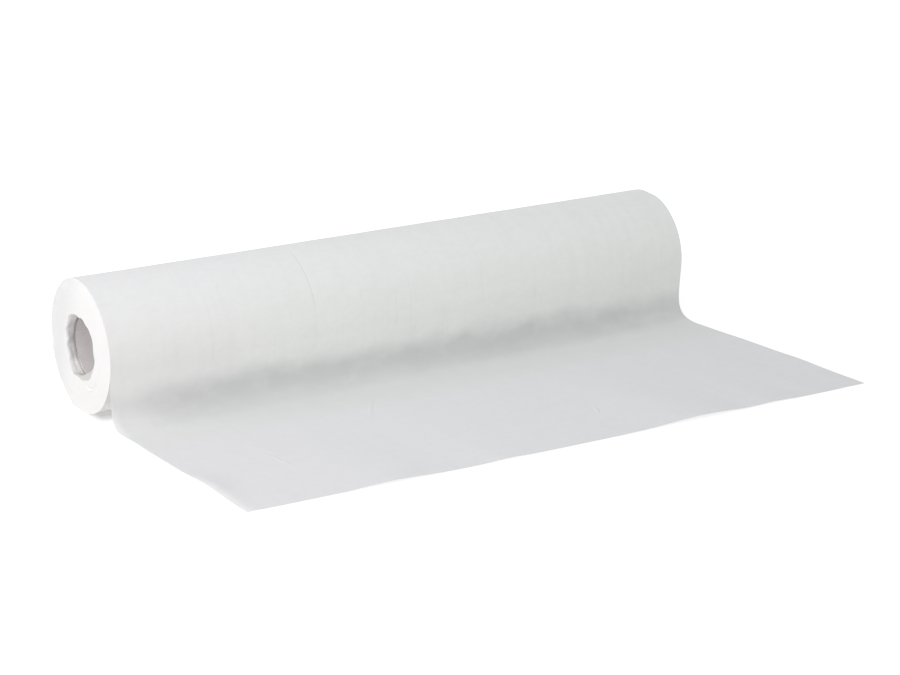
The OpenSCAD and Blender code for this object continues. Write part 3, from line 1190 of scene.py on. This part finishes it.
def seam_tree():
    """A lapped edge that follows a helix on the wall of the bore."""
    graph, given = geometry_graph("Spiral seam", (
        ("Length", "NodeSocketFloat", 0.5),
        ("Radius", "NodeSocketFloat", 0.02),
        ("Pitch", "NodeSocketFloat", 0.09),
        ("Width", "NodeSocketFloat", 0.001),
        ("Height", "NodeSocketFloat", 0.0002),
        ("Centre", "NodeSocketVector", None),
        ("Material", "NodeSocketMaterial", None),
    ))
    helix = graph.add("GeometryNodeCurveSpiral", None, {
        "Resolution": 64,
        "Rotations": given["Length"] / given["Pitch"],
        "Start Radius": given["Radius"],
        "End Radius": given["Radius"],
        "Height": given["Length"],
    })
    lap = graph.add("GeometryNodeCurvePrimitiveQuadrilateral", {"mode": "RECTANGLE"}, {
        "Width": given["Width"], "Height": given["Height"],
    })
    swept = graph.add("GeometryNodeCurveToMesh", None, {
        "Curve": helix, "Profile Curve": lap, "Fill Caps": True,
    })
    laid = graph.add("GeometryNodeTransform", None, {
        "Geometry": swept, "Rotation": (0, math.pi / 2, 0),
    })
    half = graph.add("ShaderNodeCombineXYZ", None, {"X": given["Length"] * -0.5, "Y": 0, "Z": 0})
    place = graph.add("ShaderNodeVectorMath", {"operation": "ADD"}, {0: given["Centre"], 1: half})
    moved = graph.add("GeometryNodeTransform", None, {"Geometry": laid, "Translation": place})
    return end_tree(graph, moved, given["Material"])


def lint_tree():
    """Torn fibres scattered on the two rims of the core."""
    graph, given = geometry_graph("Torn fibres", (
        ("Half length", "NodeSocketFloat", 0.25),
        ("Radius", "NodeSocketFloat", 0.02),
        ("Count", "NodeSocketInt", 20),
        ("Size", "NodeSocketFloat", 0.001),
        ("Seed", "NodeSocketInt", 0),
        ("Centre", "NodeSocketVector", None),
        ("Material", "NodeSocketMaterial", None),
    ))
    number = graph.add("GeometryNodeInputIndex")

    def chance(offset, low, high):
        return graph.add("FunctionNodeRandomValue", {"data_type": "FLOAT"}, {
            2: low, 3: high, "ID": number, "Seed": given["Seed"] + offset,
        }, 1)

    turn = chance(1, 0, 2 * math.pi)
    cosine = graph.add("ShaderNodeMath", {"operation": "COSINE"}, {0: turn})
    sine = graph.add("ShaderNodeMath", {"operation": "SINE"}, {0: turn})
    side = graph.add("ShaderNodeMath", {"operation": "SIGN"}, {0: number - given["Count"] + 0.5})
    reach = given["Half length"] + chance(2, 0.0, 0.4 * MM)
    spot = graph.add("ShaderNodeCombineXYZ", None, {
        "X": side * reach, "Y": cosine * given["Radius"], "Z": sine * given["Radius"],
    })
    place = graph.add("ShaderNodeVectorMath", {"operation": "ADD"}, {0: spot, 1: given["Centre"]})
    points = graph.add("GeometryNodePoints", None, {"Count": given["Count"] * 2, "Position": place})
    flake = graph.add("GeometryNodeMeshCone", None, {
        "Vertices": 5, "Radius Top": 0.05, "Radius Bottom": 0.16, "Depth": 1.0,
    })
    tilt = graph.add("ShaderNodeCombineXYZ", None, {
        "X": chance(3, -3, 3), "Y": chance(4, -3, 3), "Z": chance(5, -3, 3),
    })
    placed = graph.add("GeometryNodeInstanceOnPoints", None, {
        "Points": points, "Instance": flake, "Rotation": tilt,
        "Scale": given["Size"] * chance(6, 0.35, 1.0),
    })
    return end_tree(graph, placed, given["Material"])


class ROLL_OT_paper(bpy.types.Operator):
    """Winds the paper, lets its outer turn fall and lays the leading sheet on the table."""

    bl_idname = "paper_roll.paper"
    bl_label = "Paper"

    def execute(self, context):
        paper = wind_paper(context.scene)
        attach(paper, "root")
        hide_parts("paper_roll")
        return {"FINISHED"}


class ROLL_OT_core(bpy.types.Operator):
    """Makes the cardboard core."""

    bl_idname = "paper_roll.core"
    bl_label = "Core"

    def execute(self, context):
        core = tube_mesh(context.scene)
        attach(core, "root")
        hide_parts("core_tube")
        return {"FINISHED"}


class ROLL_OT_seam(bpy.types.Operator):
    """Lays the spiral seam on the wall of the bore."""

    bl_idname = "paper_roll.seam"
    bl_label = "Core seam"

    def execute(self, context):
        sizes = context.scene.roll_core
        board = bpy.data.materials["grey_board"]
        seam = grow("core_seam", seam_tree(), {
            "Length": 2 * CORE_HALF - 2 * MM,
            "Radius": BORE_R,
            "Pitch": sizes.seam_pitch,
            "Width": sizes.seam_w,
            "Height": sizes.seam_h * 2,
            "Centre": (0, CORE_Y, CORE_Z),
            "Material": board,
        }, board)
        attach(seam, "root")
        return {"FINISHED"}


class ROLL_OT_lint(bpy.types.Operator):
    """Scatters torn fibres on the rims of the core."""

    bl_idname = "paper_roll.lint"
    bl_label = "Torn fibres"

    def execute(self, context):
        sizes = context.scene.roll_core
        paint = lint_paint(context.scene.roll_finish)
        lint = grow("core_lint", lint_tree(), {
            "Half length": CORE_HALF,
            "Radius": (CORE_R + BORE_R) / 2,
            "Count": sizes.lint_count,
            "Size": sizes.lint_size,
            "Seed": sizes.seed,
            "Centre": (0, CORE_Y, CORE_Z),
            "Material": paint,
        }, paint)
        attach(lint, "root")
        return {"FINISHED"}


def soft_lamp(name, at, aim, width, power):
    """A square soft lamp that the camera doesn't see, aimed at a point."""
    lamp = bpy.data.lights.new(name, "AREA")
    lamp.shape = "SQUARE"
    lamp.size = width
    lamp.energy = power
    found = bpy.data.objects.new(name, lamp)
    found.location = at
    found.rotation_mode = "QUATERNION"
    found.rotation_quaternion = (Vector(aim) - Vector(at)).to_track_quat("-Z", "Y")
    found.visible_camera = False
    bpy.context.scene.collection.objects.link(found)
    return found


def seen_white(graph):
    """1 for what the camera sees directly, in gloss or through something clear."""
    direct, gloss, clear = (
        graph.add("ShaderNodeLightPath", None, None, ray)
        for ray in ("Is Camera Ray", "Is Glossy Ray", "Is Transmission Ray")
    )
    return direct.most(gloss).most(clear)


def floor_paint():
    """White floor that keeps the object's soft shadow, with painted shadow that deepens it under the left end
    of the roll.
    """
    paint = Paint("floor")
    x, y, _ = paint.axes(paint.place())
    far = (abs(x) - HALF_W).most(abs(y - OUTLINE_Y) - OUTLINE_HALF_Y)
    share = 0.64 + 0.36 * paint.after(far, SHADOW_FADES)
    left_x = x + HALF_W
    left_y = y - LEFT_FOOT_Y
    from_left = (left_x * left_x + left_y * left_y) ** 0.5
    # Painted shadow: round the left foot less white shows, most of all in the contact shadow under the roll
    contact = (1 - paint.after(y * -1, CONTACT_FRONT)) * paint.after(left_x, CONTACT_LEFT)
    contact = contact * (0.2 + paint.after(y * -1, CONTACT_DEEPER) * 0.16)
    share = share - (1 - paint.after(from_left, LEFT_FOOT_FADES)) * (contact + 0.03)
    diffuse = paint.add("ShaderNodeBsdfDiffuse", None, {"Color": (0.8, 0.8, 0.8, 1)})
    white = paint.add("ShaderNodeEmission", None, {"Color": (1, 1, 1, 1), "Strength": 1.3})
    surface = paint.add("ShaderNodeMixShader", None, {0: seen_white(paint) * share, 1: diffuse, 2: white})
    paint.add("ShaderNodeOutputMaterial", None, {"Surface": surface})
    return paint.material


def light_world(strength):
    """Even light from all round, behind a white background."""
    world = bpy.data.worlds.new("studio")
    bpy.context.scene.world = world
    world.use_nodes = True
    graph = Graph(world.node_tree)
    room = graph.add("ShaderNodeBackground", None, {"Color": (1, 1, 1, 1), "Strength": strength})
    white = graph.add("ShaderNodeBackground", None, {"Color": (1, 1, 1, 1), "Strength": 1.0})
    surface = graph.add("ShaderNodeMixShader", None, {0: seen_white(graph), 1: room, 2: white})
    graph.add("ShaderNodeOutputWorld", None, {"Surface": surface})


class ROLL_OT_stage(bpy.types.Operator):
    """Sets up the floor, the soft lamps and the camera."""

    bl_idname = "paper_roll.stage"
    bl_label = "Stage"

    def execute(self, context):
        scene = context.scene
        sizes = scene.roll_stage
        half = sizes.floor_size / 2
        floor_mesh = bpy.data.meshes.new("floor")
        corners = ((-half, -half), (half, -half), (half, half), (-half, half))
        floor_mesh.from_pydata([(x, y, -FLOOR_DROP) for x, y in corners], [], [(0, 1, 2, 3)])
        floor_mesh.materials.append(floor_paint())
        floor = bpy.data.objects.new("floor", floor_mesh)
        scene.collection.objects.link(floor)
        for name, place, width, power in LAMPS:
            soft_lamp(name, place, LAMP_AIM, width, getattr(sizes, power))
        place, aim, width, height = HOLLOW_LAMP
        hollow = soft_lamp("hollow_lamp", place, aim, width, sizes.hollow_power)
        hollow.data.shape = "RECTANGLE"
        hollow.data.size_y = height
        light_world(sizes.world_light)
        scene.view_settings.view_transform = "Standard"
        camera_data = bpy.data.cameras.new("camera")
        camera_data.lens = sizes.lens
        camera_data.clip_end = 60
        camera = bpy.data.objects.new("camera", camera_data)
        level = math.cos(sizes.elevation)
        back = Vector((
            math.sin(sizes.azimuth) * level, -math.cos(sizes.azimuth) * level, math.sin(sizes.elevation),
        ))
        camera.location = sizes.camera_at
        camera.rotation_mode = "QUATERNION"
        camera.rotation_quaternion = (-back).to_track_quat("-Z", "Y")
        scene.collection.objects.link(camera)
        scene.camera = camera
        return {"FINISHED"}


class ROLL_PT_panel(bpy.types.Panel):
    """Lists the steps that build the roll."""

    bl_label = "Paper roll"
    bl_idname = "ROLL_PT_panel"
    bl_space_type = "VIEW_3D"
    bl_region_type = "UI"
    bl_category = "Paper roll"

    def draw(self, context):
        for operator in OPERATORS:
            self.layout.operator(operator.bl_idname)
        for name, group in GROUPS.items():
            box = self.layout.box()
            for field in group.__annotations__:
                box.prop(getattr(context.scene, name), field)


OPERATORS = (ROLL_OT_stage, ROLL_OT_core, ROLL_OT_seam, ROLL_OT_lint, ROLL_OT_paper)


def register():
    for group in GROUPS.values():
        bpy.utils.register_class(group)
    for name, group in GROUPS.items():
        setattr(bpy.types.Scene, name, PointerProperty(type=group))
    for operator in OPERATORS:
        bpy.utils.register_class(operator)
    bpy.utils.register_class(ROLL_PT_panel)


def unregister():
    bpy.utils.unregister_class(ROLL_PT_panel)
    for operator in reversed(OPERATORS):
        bpy.utils.unregister_class(operator)
    for name in GROUPS:
        delattr(bpy.types.Scene, name)
    for group in reversed(GROUPS.values()):
        bpy.utils.unregister_class(group)


def main():
    register()
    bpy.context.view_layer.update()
    bpy.ops.paper_roll.stage()
    bpy.ops.paper_roll.core()
    bpy.ops.paper_roll.seam()
    bpy.ops.paper_roll.lint()
    bpy.ops.paper_roll.paper()


if __name__ == "__main__":
    main()
